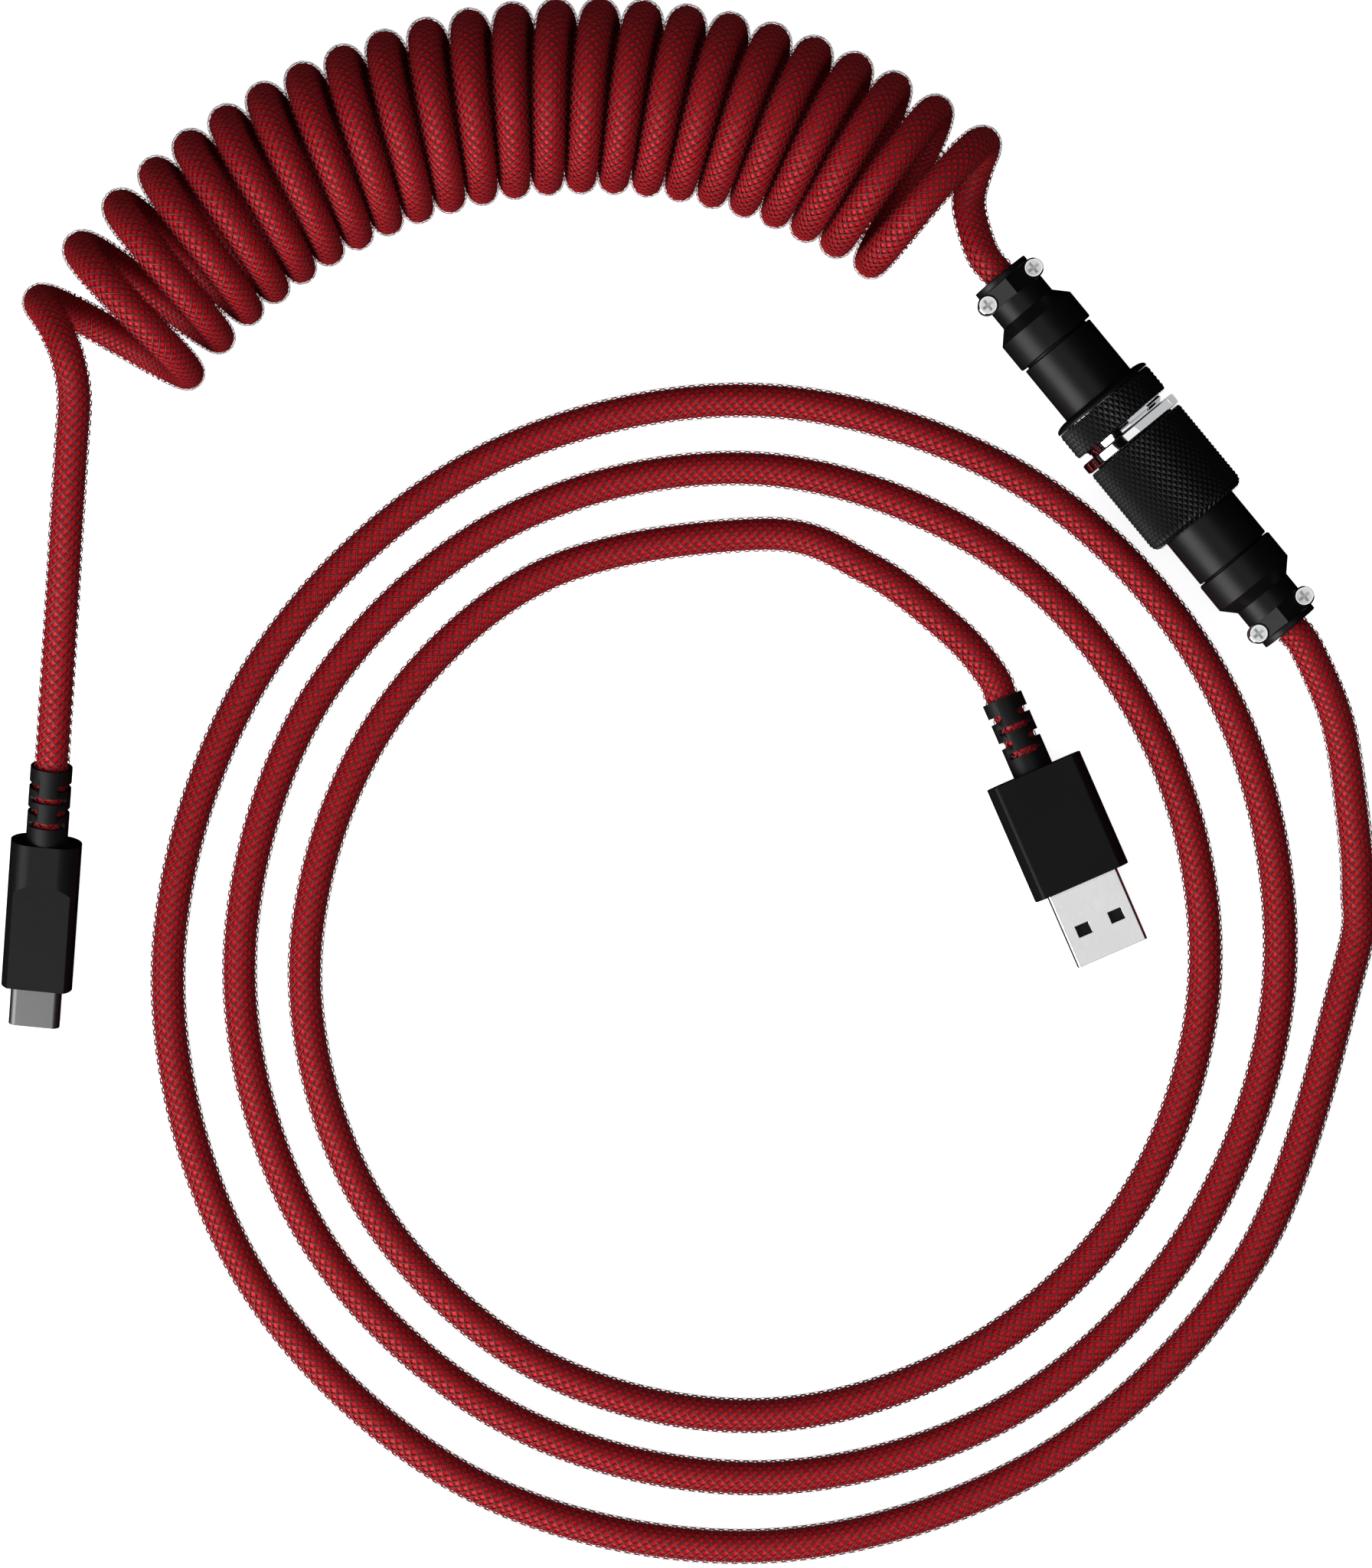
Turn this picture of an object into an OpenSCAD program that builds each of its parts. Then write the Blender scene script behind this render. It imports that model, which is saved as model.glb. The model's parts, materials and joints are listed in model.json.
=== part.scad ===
// Coiled charging cable: USB-C plug, curly stretch, inline screw coupler,
// three-turn spiral and USB-A plug. Everything lies on the surface z = 0.
// The origin is under the middle of the coupler, on that surface.

/* [Cord] */
// Diameter over the outer mesh sleeve
cord_d = 5.7; // [5.4:0.1:5.7]
// Diameter of the bare inner cable
jacket_d = 4.0; // [3.6:0.1:4.4]

/* [Curly stretch] */
// Outer diameter of the coil
coil_d = 31.4; // [30.6:0.1:31.4]
// Radius of the arc that the coil's middle line follows
coil_arc_r = 94; // [92:0.5:96]
// Angle on the arc where the coil starts, at the coupler
coil_from = 52.5; // [52:0.5:54]
// Angle on the arc where the coil ends, at the USB-C lead
coil_to = 146.5; // [145:0.5:147]

/* [Coupler] */
// Direction of the coupler's axis on the surface
coupler_angle = -50.5; // [-52:0.5:-49]
// Radius of the chrome flange, which the coupler rests on
flange_r = 9.2; // [9.1:0.05:9.4]
// Radius over the knurls of the coupling sleeve
sleeve_r = 9.05; // [8.9:0.05:9.1]
// Length of the coupling sleeve
sleeve_len = 16.5; // [16:0.1:17]
// Radius of the lock ring
lock_ring_r = 9.0; // [8.8:0.05:9.1]
// Length of the lock ring
lock_ring_len = 4.9; // [4.5:0.1:4.9]
// Radius of the tail's end disc and neck
neck_r = 5.0; // [4.9:0.05:5.2]
// Radius of the tail's band
band_r = 7.0; // [7.0:0.05:7.2]
// Number of contacts
contacts = 5; // [3:1:5]

/* [USB-C plug] */
// Width of the body
c_body_w = 11.4; // [11:0.1:12]
// Thickness of the body
c_body_t = 7.0; // [6.8:0.1:7.4]
// Length of the body
c_body_len = 24.6; // [24:0.1:26]
// Length of shell that stands out of the body
c_shell_len = 6.65; // [6.5:0.05:6.8]
// Nose-down tilt of the plug, which leans on its nose
c_tilt = 18; // [16:0.5:19]

/* [USB-A plug] */
// Width of the body
a_body_w = 16.1; // [15.5:0.1:17]
// Thickness of the body
a_body_t = 8.0; // [7.8:0.1:8.4]
// Length of the body
a_body_len = 19.6; // [19:0.1:21]
// Length of shell that stands out of the body
a_shell_len = 12.3; // [12:0.1:12.5]

/* [Strain reliefs] */
// Length of a strain relief
relief_len = 12.6; // [12.6:0.1:13]
// Outer radius of a strain relief
relief_r = 3.35; // [3.3:0.05:3.5]

/* [Hidden] */
$fn = 64;

black = "#1c1d1f";
dark_rubber = "#232425";
chrome = "#c9cbce";
steel = "#b9bbbe";
gold = "#c9a24a";
red = "#c01722";
cream = "#d8d2c0";

cord_r = cord_d / 2;
jacket_r = jacket_d / 2;

// Tail stations, from the cable end inwards
disc_t = 1.1;
clamp_end = disc_t + 3.0;
neck_end = clamp_end + 3.0;
cone_end = neck_end + 2.1;
tail_len = cone_end + 5.0;
clamp_mid = (disc_t + clamp_end) / 2;
sleeved_len = 5.0;
jacket_len = 6.5;
spigot_from = 9.9;
spigot_r = 5.9;
inner_r = 5.0;

// Clamp: half height of an ear, lateral place of a screw
ear_h = 2.2;
ear_y = 4.7;
split = 0.15;
screw_r = 0.75;
screw_head_r = 1.65;
screw_head_t = 0.9;
recess_w = 0.44;
recess_len = 1.9;
ridge_h = 5.0;
eave_h = 3.1;

// Threaded half, from its cable end to the flange's front face and on
socket_barrel_from = tail_len + 0.3;
shoulder_from = socket_barrel_from + 10.3;
shoulder_to = shoulder_from + 1.15;
lock_from = shoulder_to + 0.05;
lock_to = lock_from + lock_ring_len;
flange_from = lock_from + 6.0;
socket_len = flange_from + 1.8;
front_thread_r = 7.95;
front_thread_to = socket_len + 7;
rear_thread_r = 7.5;
shell_spigot_r = 6.0;
shell_rear = 20.5;
socket_bore_r = 5.2;
cavity_r = 6.5;
cavity_from = socket_len + 1.1;
barrel_r = 6.6;

// Sleeve half, from its cable end to the same face
plug_barrel_from = tail_len + 0.2;
plug_barrel_r = 6.7;
sleeve_from = plug_barrel_from + 8.3;
plug_len = sleeve_from + sleeve_len;
plug_barrel_to = plug_len - 12.2;
collar_from = plug_len - 10.2;
collar_to = plug_len - 7.7;
collar_r = 7.3;
plug_front = plug_len - 1.4;
plug_tube_r = 6.45;
plug_bore_r = 5.8;
plug_thread_r = 5.95;
plug_rear = plug_barrel_to - 6;

// Whole coupler
coupler_len = socket_len + plug_len;
axis_dir = [cos(coupler_angle), sin(coupler_angle), 0];
axis_h = [0, 0, flange_r];
socket_end = axis_h - axis_dir * coupler_len / 2;
plug_end = axis_h + axis_dir * coupler_len / 2;

// Contacts
pitch_r = 3.2;
pin_r = 0.7;
contact_r = 1.1;
contact_bore_r = 0.75;
contact_from = 22;
contact_bore_from = 29.5;
pin_from = 24;
pin_to = coupler_len - 30.5;
insulator_from = contact_from + 1.5;
wire_r = 0.42;

// Curly stretch
arc_centre = [-88.5, -38.0];
coil_r = coil_d / 2;

// USB-C plug: middle of the body's front face, and its heading
c_shell_w = 8.25;
c_shell_t = 2.4;
c_front = [-177.5, -85.5, c_body_t / 2 * cos(c_tilt)];
c_heading = -95.5;
c_dir = [cos(c_heading) * cos(c_tilt), sin(c_heading) * cos(c_tilt), -sin(c_tilt)];
c_rear = c_front - c_dir * c_body_len;

// USB-A plug: middle of the body's front face, and its heading
a_shell_w = 12.0;
a_shell_t = 4.5;
a_front = [-9.8, -68.9, a_body_t / 2];
a_heading = -66.5;
a_dir = [cos(a_heading), sin(a_heading), 0];
a_rear = a_front - a_dir * a_body_len;

// Straight run of cord out of an end
straight = 4;

// Strain reliefs: slots, alternately in the sides and in the top and bottom
slot_w = 1.0;
slot_pitch = 4.2;
side_slot_at = 2.4;
top_slot_at = side_slot_at + slot_pitch / 2;
side_web = 1.4;
top_web = 1.7;

// Thumb panel of the USB-C body, chamfers of the USB-A body, and the cavities moulded in both
c_panel_w = 10;
c_panel_arch = 6.5;
c_panel_rear = 6.4;
c_panel_depth = 0.9;
c_cavity = [9, 4.2];
a_chamfer = [1.25, 2.2];
a_cavity = [13, 5.6];
lip = 0.5;
a_lip = 0.8;
window = [1.9, 2.3];
window_at = [6.0, 2.85];

// Routes of the cords: the given points, chosen by hand, between the straight runs
link_route = concat(
    [socket_end, socket_end - axis_dir * straight],
    [[-27.5, 36.5, 7.5], [-28, 41, 7], [-26.5, 46, 8]]
);
lead_route = concat(
    [[-174.5, 21, 23], [-172.5, 18.5, 26], [-170.5, 14, 28], [-169.5, 8, 27.5], [-170, 0, 26.5],
     [-171, -13, 24.5], [-172, -26, 21.5]],
    [c_rear - c_dir * (relief_len + straight), c_rear - c_dir * relief_len, c_rear]
);
spiral_route = concat(
    [plug_end, plug_end + axis_dir * straight],
    [[31, -43, 6], [33.5, -57.5, 4.2], [34.5, -70, 3.1], [33, -83.5, 2.85],
     [17.5, -129, 2.85], [-16, -162, 2.85], [-61.5, -175.5, 2.85], [-108.5, -165, 2.85],
     [-144, -131, 2.85], [-156.5, -83.5, 2.85], [-143, -36.5, 2.85], [-108, -2.5, 2.85],
     [-61.5, 8.5, 2.85], [-16.5, -6, 2.85],
     [13.5, -40, 2.85], [22, -83.5, 2.85], [9, -124, 2.85], [-21, -153.5, 2.85],
     [-61.5, -164.5, 2.85], [-102.5, -154.5, 2.85], [-133.5, -125, 2.85], [-145, -83.5, 2.85],
     [-134, -41.5, 2.85], [-103, -11.5, 2.85], [-61.5, -2.5, 2.85], [-22.5, -16.5, 2.85],
     [2.5, -46.5, 2.85], [10, -83.5, 2.85], [-0.5, -118.5, 2.85], [-26.5, -144, 2.85],
     [-61.5, -154.5, 2.85], [-97.5, -146, 2.85], [-124.5, -120, 2.85], [-134.5, -83.5, 2.85],
     [-124.5, -47, 2.85], [-98, -20.5, 2.85], [-61.5, -13, 2.85], [-44, -18.5, 2.9],
     [-30.5, -28.5, 3.5]],
    [a_rear - a_dir * (relief_len + straight), a_rear - a_dir * relief_len, a_rear]
);
tube_sides = 10;

// Place and slope on the smooth curve through p1 and p2, at t from 0 to 1
function curve(p0, p1, p2, p3, t) =
    (2 * p1 + (p2 - p0) * t + (2 * p0 - 5 * p1 + 4 * p2 - p3) * t * t
     + (3 * p1 - p0 - 3 * p2 + p3) * t * t * t) / 2;
function slope(p0, p1, p2, p3, t) =
    ((p2 - p0) + 2 * (2 * p0 - 5 * p1 + 4 * p2 - p3) * t
     + 3 * (3 * p1 - p0 - 3 * p2 + p3) * t * t) / 2;
function before(r, i) = i > 0 ? r[i - 1] : 2 * r[0] - r[1];
function after(r, i) = i + 2 < len(r) ? r[i + 2] : 2 * r[len(r) - 1] - r[len(r) - 2];
function unit(v) = v / norm(v);

// Ring centres and directions along a route: longer spans get one ring in the middle
function stations(r) = concat(
    [for (i = [0 : len(r) - 2])
        let (long = norm(r[i + 1] - r[i]) > 20)
        for (t = long ? [0, 0.5] : [0])
            [curve(before(r, i), r[i], r[i + 1], after(r, i), t),
             unit(slope(before(r, i), r[i], r[i + 1], after(r, i), t))]],
    [[r[len(r) - 1], unit(r[len(r) - 1] - r[len(r) - 2])]]
);

// Round tube swept along a route whose directions are never along level
module tube(route, r = cord_r, n = tube_sides, level = [0, 0, 1]) {
    rings = stations(route);
    last = len(rings) - 1;
    points = [
        for (ring = rings)
            let (side = unit(cross(level, ring[1])), up = cross(ring[1], side))
            for (k = [0 : n - 1])
                ring[0] + r * (cos(k * 360 / n - 90) * side + sin(k * 360 / n - 90) * up)
    ];
    walls = [
        for (i = [0 : last - 1], k = [0 : n - 1])
            let (a = i * n + k, b = i * n + (k + 1) % n)
            for (face = [[a, a + n, b], [b, a + n, b + n]]) face
    ];
    caps = [[for (k = [0 : n - 1]) k], [for (k = [n - 1 : -1 : 0]) last * n + k]];
    polyhedron(points = points, faces = concat(walls, caps));
}

// Frames. Coupler halves: z runs inwards along the axis from the cable end, x points up
module along(from, heading) {
    translate(from) rotate([0, 0, heading]) rotate([0, 90, 0]) rotate([0, 0, 180]) children();
}
module socket_half() { along(socket_end, coupler_angle) children(); }
module plug_half() { along(plug_end, coupler_angle + 180) children(); }

// Plugs: x runs to the tip from the body's front face, z points up
module usb_c() { translate(c_front) rotate([0, c_tilt, c_heading]) children(); }
module usb_a() { translate(a_front) rotate([0, 0, a_heading]) children(); }

// Turned piece from a half profile of [radius, z] points
module turned(profile) { rotate_extrude() polygon(profile); }

// Cylinder between two heights, with a small chamfer at each end
module disc(r, from, to, chamfer = 0) {
    turned([[0, from], [r - chamfer, from], [r, from + chamfer], [r, to - chamfer],
            [r - chamfer, to], [0, to]]);
}

module around(count) {
    for (k = [0 : count - 1]) rotate([0, 0, k * 360 / count]) children();
}

// Flat oval, w across y and t across z, from x1 to x2
module oval_bar(w, t, x1, x2) {
    translate([x1, 0, 0]) rotate([90, 0, 90]) linear_extrude(x2 - x1) union() {
        square([w - t, t], center = true);
        for (side = [-1, 1]) translate([side * (w - t) / 2, 0]) circle(d = t);
    }
}

// Bar with rounded corners, w across y and t across z, from x1 to x2
module round_bar(w, t, corner, x1, x2) {
    translate([x1, 0, 0]) rotate([90, 0, 90]) linear_extrude(x2 - x1) union() {
        square([w - 2 * corner, t], center = true);
        square([w, t - 2 * corner], center = true);
        for (y = [-1, 1], z = [-1, 1])
            translate([y * (w / 2 - corner), z * (t / 2 - corner)]) circle(r = corner);
    }
}

module chamfer_bar(w, t, cut, x1, x2) {
    translate([x1, 0, 0]) rotate([90, 0, 90]) linear_extrude(x2 - x1) hull() {
        square([w - 2 * cut[0], t], center = true);
        square([w, t - 2 * cut[1]], center = true);
    }
}

module block(w, t, x1, x2) {
    translate([x1, -w / 2, -t / 2]) cube([x2 - x1, w, t]);
}

// --- Parts that both coupler halves have ---

module screw_places() {
    for (side = [-1, 1]) translate([0, side * ear_y, clamp_mid]) rotate([0, 90, 0]) children();
}

module clamp_ear(from, to) {
    translate([from, ear_y - 1.7, disc_t]) cube([to - from, 1.9, clamp_end - disc_t]);
    translate([from, ear_y, clamp_mid]) rotate([0, 90, 0]) cylinder(r = 1.5, h = to - from);
}

module clamp_ears(from, to) {
    clamp_ear(from, to);
    mirror([0, 1, 0]) clamp_ear(from, to);
}

module tail_shell() {
    difference() {
        union() {
            disc(neck_r, 0, disc_t, 0.15);
            intersection() {
                cylinder(r = neck_r, h = clamp_end);
                translate([-neck_r - 1, -neck_r - 1, 0]) cube([neck_r + 1 - split, 2 * neck_r + 2, clamp_end]);
            }
            clamp_ears(-ear_h, -split);
            turned([[0, clamp_end], [neck_r, clamp_end], [neck_r, neck_end], [band_r, cone_end],
                    [band_r, tail_len - 0.2], [band_r - 0.2, tail_len], [0, tail_len]]);
        }
        translate([0, 0, -1]) cylinder(r = cord_r, h = sleeved_len + 1.01);
        translate([0, 0, sleeved_len]) cylinder(r = 4.2, h = tail_len);
        translate([0, 0, spigot_from]) cylinder(r = spigot_r, h = tail_len);
        screw_places() translate([0, 0, -3]) cylinder(r = screw_r, h = 3);
    }
}

module clamp_saddle() {
    difference() {
        union() {
            translate([0, 0, disc_t]) linear_extrude(clamp_end - disc_t)
                polygon([[split, -4], [eave_h, -4], [ridge_h, 0], [eave_h, 4], [split, 4]]);
            clamp_ears(split, ear_h);
        }
        translate([0, 0, -1]) cylinder(r = cord_r, h = 10);
        screw_places() cylinder(r = screw_r + 0.1, h = 3);
        screw_places() translate([0, 0, ear_h]) cylinder(r = screw_head_r + 0.05, h = 3);
    }
}

module clamp_screws() {
    screw_places() difference() {
        union() {
            translate([0, 0, -2]) cylinder(r = screw_r, h = ear_h + 2);
            translate([0, 0, ear_h]) disc(screw_head_r, 0, screw_head_t, 0.25);
        }
        for (turn = [0, 90]) rotate([0, 0, turn])
            translate([-recess_len / 2, -recess_w / 2, ear_h + 0.4]) cube([recess_len, recess_w, 1]);
    }
}

// Sleeved cable in the clamp, then its bare jacket
module cable_end() {
    cylinder(r = cord_r, h = sleeved_len);
    translate([0, 0, sleeved_len - 1]) cylinder(r = jacket_r, h = jacket_len + 1);
}

module coupler_wires(wires_to) {
    from = sleeved_len + jacket_len;
    around(contacts) tube([
        [1.2, 0, from], [1.2, 0, from + 1.5], [2.2, 0, (from + wires_to) / 2],
        [pitch_r, 0, wires_to - 1.5], [pitch_r, 0, wires_to]
    ], wire_r, 6, [0, 1, 0]);
}

// --- Threaded half ---

module socket_tail_shell() { color(black) socket_half() tail_shell(); }
module socket_clamp_saddle() { color(black) socket_half() clamp_saddle(); }
module socket_clamp_screws() { color(chrome) socket_half() clamp_screws(); }
module socket_cable_end() { color(red) socket_half() cable_end(); }
module socket_wires() { color("#3a7d44") socket_half() coupler_wires(contact_from); }

module socket_barrel() {
    color(black) socket_half() difference() {
        union() {
            disc(barrel_r, socket_barrel_from, shoulder_from, 0.15);
            translate([0, 0, spigot_from]) cylinder(r = spigot_r, h = socket_barrel_from + 1 - spigot_from);
            turned([[0, shoulder_from - 1], [barrel_r, shoulder_from - 1], [barrel_r, shoulder_from],
                    for (a = [0 : 15 : 90])
                        [barrel_r + (lock_ring_r - barrel_r) * sin(a), shoulder_from + 0.9 * (1 - cos(a))],
                    [lock_ring_r, shoulder_to], [0, shoulder_to]]);
        }
        cylinder(r = inner_r, h = shell_rear + 0.01);
        translate([0, 0, shell_rear]) cylinder(r = shell_spigot_r, h = 20);
    }
}

module lock_ring() {
    color(black) socket_half() difference() {
        disc(lock_ring_r, lock_from, lock_to, 0.3);
        cylinder(r = rear_thread_r + 0.05, h = lock_to + 1);
        cylinder(r = 8.65, h = lock_from + 0.52);
    }
}

module lock_washer() {
    color(steel) socket_half() difference() {
        disc(8.6, lock_from, lock_from + 0.5);
        cylinder(r = rear_thread_r + 0.05, h = 40);
    }
}

module socket_shell() {
    color(chrome) socket_half() {
        difference() {
            union() {
                translate([0, 0, shell_rear]) cylinder(r = shell_spigot_r, h = 10);
                disc(rear_thread_r, shoulder_to, flange_from + 0.5);
                disc(flange_r, flange_from, socket_len, 0.25);
                disc(front_thread_r, socket_len - 0.5, front_thread_to, 0.4);
            }
            cylinder(r = socket_bore_r, h = cavity_from + 0.01);
            translate([0, 0, cavity_from]) cylinder(r = cavity_r, h = 10);
        }
        // Key rib on the lower side of the cavity
        intersection() {
            translate([-cavity_r - 0.2, -0.7, cavity_from]) cube([0.8, 1.4, front_thread_to - cavity_from - 0.5]);
            cylinder(r = cavity_r + 0.2, h = 60);
        }
    }
}

module socket_insulator() {
    color("#262220") socket_half() difference() {
        union() {
            translate([0, 0, insulator_from])
                cylinder(r = socket_bore_r, h = cavity_from - insulator_from + 0.5);
            disc(5.6, cavity_from, cavity_from + 1.1, 0.1);
        }
        around(contacts) translate([pitch_r, 0, 20]) cylinder(r = contact_r, h = 20);
    }
}

module socket_contacts() {
    color(gold) socket_half() around(contacts) translate([pitch_r, 0, 0]) difference() {
        disc(contact_r, contact_from, cavity_from + 1, 0.1);
        translate([0, 0, contact_bore_from]) cylinder(r = contact_bore_r, h = 20);
    }
}

// --- Sleeve half ---

module plug_tail_shell() { color(black) plug_half() tail_shell(); }
module plug_clamp_saddle() { color(black) plug_half() clamp_saddle(); }
module plug_clamp_screws() { color(chrome) plug_half() clamp_screws(); }
module plug_cable_end() { color(red) plug_half() cable_end(); }
module plug_wires() { color("#3a7d44") plug_half() coupler_wires(pin_from); }

module plug_barrel() {
    color(black) plug_half() difference() {
        union() {
            disc(plug_barrel_r, plug_barrel_from, plug_barrel_to, 0.15);
            translate([0, 0, spigot_from]) cylinder(r = spigot_r, h = 5.5);
        }
        cylinder(r = inner_r, h = plug_rear + 0.01);
        translate([0, 0, plug_rear]) cylinder(r = plug_thread_r, h = 20);
    }
}

module coupling_sleeve() {
    color(black) plug_half() difference() {
        turned([[0, sleeve_from], [sleeve_r - 1.4, sleeve_from],
                for (a = [90 : -15 : 0]) [sleeve_r - 1.0 + cos(a), sleeve_from + 1.0 - sin(a)],
                [sleeve_r, plug_len - 0.35], [sleeve_r - 0.3, plug_len - 0.05], [0, plug_len - 0.05]]);
        cylinder(r = plug_barrel_r + 0.05, h = 60);
        translate([0, 0, sleeve_from + 1.8]) cylinder(r = 7.6, h = 40);
        translate([0, 0, collar_from - 1]) cylinder(r = 7.95, h = 1);
        translate([0, 0, plug_len - 7.2]) cylinder(r = front_thread_r + 0.05, h = 10);
    }
}

module retaining_ring() {
    color(steel) plug_half() difference() {
        disc(7.9, collar_from - 0.95, collar_from - 0.05);
        cylinder(r = plug_barrel_r + 0.1, h = 60);
    }
}

module plug_shell() {
    color(chrome) plug_half() difference() {
        union() {
            translate([0, 0, plug_rear]) cylinder(r = plug_thread_r, h = 12);
            disc(collar_r, collar_from, collar_to, 0.2);
            disc(plug_tube_r, collar_to - 0.5, plug_front, 0.25);
        }
        cylinder(r = inner_r, h = plug_barrel_to + 0.01);
        translate([0, 0, plug_barrel_to]) cylinder(r = plug_bore_r, h = 20);
        translate([-8, -0.8, collar_to + 0.3]) cube([4, 1.6, 20]);
    }
}

module plug_insulator() {
    color("#262220") plug_half() difference() {
        translate([0, 0, plug_barrel_to]) cylinder(r = plug_bore_r, h = plug_front - 1 - plug_barrel_to);
        around(contacts) translate([pitch_r, 0, 20]) cylinder(r = pin_r, h = 30);
    }
}

module plug_pins() {
    color(gold) plug_half() around(contacts) translate([pitch_r, 0, 0])
        disc(pin_r, pin_from, pin_to, 0.3);
}

// --- USB plugs ---

// Cutter for one slot: open upwards from z = web, with a round bottom
module slot_cut(web) {
    translate([-slot_w / 2, -5, web + slot_w / 2]) cube([slot_w, 10, 4]);
    translate([0, 5, web + slot_w / 2]) rotate([90, 0, 0]) cylinder(r = slot_w / 2, h = 10);
}

// Slotted strain relief behind a body that ends at x = rear: slots alternate between
// the sides and the top and bottom
module relief(rear) {
    difference() {
        translate([rear - relief_len, 0, 0]) rotate([0, 90, 0]) cylinder(r = relief_r, h = relief_len);
        translate([rear - relief_len - 1, 0, 0]) rotate([0, 90, 0]) cylinder(r = cord_r, h = relief_len + 2);
        for (k = [0, 1], face = [-1, 1]) {
            translate([rear - relief_len + side_slot_at + slot_pitch * k + slot_w / 2, 0, 0])
                rotate([face * 90, 0, 0]) slot_cut(side_web);
            translate([rear - relief_len + top_slot_at + slot_pitch * k + slot_w / 2, 0, 0])
                rotate([face > 0 ? 0 : 180, 0, 0]) slot_cut(top_web);
        }
    }
}

// Inner cable behind a board, with four wires
module usb_cable_end(rear, jacket_to, wires_to) {
    translate([rear, 0, 0]) rotate([0, 90, 0]) cylinder(r = jacket_r, h = jacket_to - rear);
    for (k = [-1.5 : 1 : 1.5])
        tube([[jacket_to, k * 0.9, 0], [jacket_to + 0.6, k * 0.9, 0], [wires_to - 0.5, k * 1.8, 0],
              [wires_to, k * 1.8, 0]], 0.35, 6);
}

module c_contact_strips() {
    for (k = [-5.5 : 1 : 5.5], face = [-1, 1])
        translate([-5.6, k * 0.5 - 0.13, face > 0 ? 0.42 : -0.54]) cube([11.2, 0.26, 0.12]);
}

module usb_c_body() {
    color(black) usb_c() difference() {
        oval_bar(c_body_w, c_body_t, -c_body_len, 0);
        // Thumb panel with an arched rear edge, open at the front and the sides
        translate([-c_body_len + c_panel_rear + c_panel_arch, 0, c_body_t / 2 - c_panel_depth]) {
            cylinder(r = c_panel_arch, h = 5);
            translate([0, -c_panel_w / 2, 0]) cube([c_body_len, c_panel_w, 5]);
        }
        block(c_cavity[0], c_cavity[1], -16, -lip);
        oval_bar(c_shell_w, c_shell_t, -1, 1);
        translate([-c_body_len - 1, 0, 0]) rotate([0, 90, 0]) cylinder(r = jacket_r, h = 10);
    }
}

module usb_c_inner_mould() {
    color(cream) usb_c() difference() {
        block(c_cavity[0], c_cavity[1], -12.5, -lip);
        oval_bar(c_shell_w, c_shell_t, -6, 1);
        block(8, 0.8, -14, -5);
    }
}

module usb_c_shell() {
    color(steel) usb_c() difference() {
        oval_bar(c_shell_w, c_shell_t, -6, c_shell_len);
        oval_bar(c_shell_w - 0.6, c_shell_t - 0.6, -7, c_shell_len + 1);
    }
}

module usb_c_insulator() {
    color("#202124") usb_c() difference() {
        oval_bar(c_shell_w - 0.6, c_shell_t - 0.6, -6, c_shell_len - 0.35);
        oval_bar(6.8, 0.84, 0.9, c_shell_len);
        c_contact_strips();
    }
}

module usb_c_contacts() { color(gold) usb_c() c_contact_strips(); }
module usb_c_board() { color("#1f5a34") usb_c() block(8, 0.8, -13.2, -6); }
module usb_c_cable_end() { color("#3a3a3c") usb_c() usb_cable_end(-c_body_len, -16.2, -13.2); }
module usb_c_relief() { color(dark_rubber) usb_c() relief(-c_body_len); }

module a_contact_strips() {
    for (k = [-1.5 : 1 : 1.5]) {
        len = abs(k) > 1 ? 7.4 : 6.4;
        translate([a_shell_len - 1.2 - len, k * 2.25 - 0.5, 0.1]) cube([len, 1.0, 0.2]);
    }
}

module usb_a_body() {
    color(black) usb_a() difference() {
        chamfer_bar(a_body_w, a_body_t, a_chamfer, -a_body_len, 0);
        block(a_cavity[0], a_cavity[1], -13, -a_lip);
        block(a_shell_w, a_shell_t, -1, 1);
        translate([-a_body_len - 1, 0, 0]) rotate([0, 90, 0]) cylinder(r = jacket_r, h = 8);
    }
}

module usb_a_inner_mould() {
    color(cream) usb_a() difference() {
        block(a_cavity[0], a_cavity[1], -10.5, -a_lip);
        block(a_shell_w, a_shell_t, -8, 1);
    }
}

module usb_a_shell() {
    color(steel) usb_a() difference() {
        round_bar(a_shell_w, a_shell_t, 0.5, -8, a_shell_len);
        round_bar(a_shell_w - 0.7, a_shell_t - 0.7, 0.2, -7.6, a_shell_len + 1);
        for (side = [-1, 1]) translate([window_at[0], side * window_at[1] - window[1] / 2, -5])
            cube([window[0], window[1], 10]);
    }
}

// Tongue in the lower half of the shell, with the contacts on its upper face
// The contacts face down, so the windows on top show the back of the tongue
module usb_a_tongue() {
    color(black) usb_a() rotate([180, 0, 0]) difference() {
        union() {
            block(a_shell_w - 0.7 - 0.02, a_shell_t - 0.7 - 0.02, -7.59, -0.5);
            translate([-1, -5.5, -1.7]) cube([a_shell_len - 0.2 + 1, 11, 2.0]);
        }
        a_contact_strips();
    }
}

module usb_a_contacts() { color(gold) usb_a() rotate([180, 0, 0]) a_contact_strips(); }
module usb_a_cable_end() { color("#3a3a3c") usb_a() usb_cable_end(-a_body_len, -12.8, -10.5); }
module usb_a_relief() { color(dark_rubber) usb_a() relief(-a_body_len); }

// --- Cords ---

module link_cord() { color(red) tube(link_route); }
module usb_c_lead() { color(red) tube(lead_route); }
module spiral_cord() { color(red) tube(spiral_route); }

module curly_coil() {
    color(red) translate([arc_centre.x, arc_centre.y, coil_r]) rotate([0, 0, coil_from])
        rotate_extrude(angle = coil_to - coil_from) translate([coil_arc_r, 0]) circle(r = coil_r);
}

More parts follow.
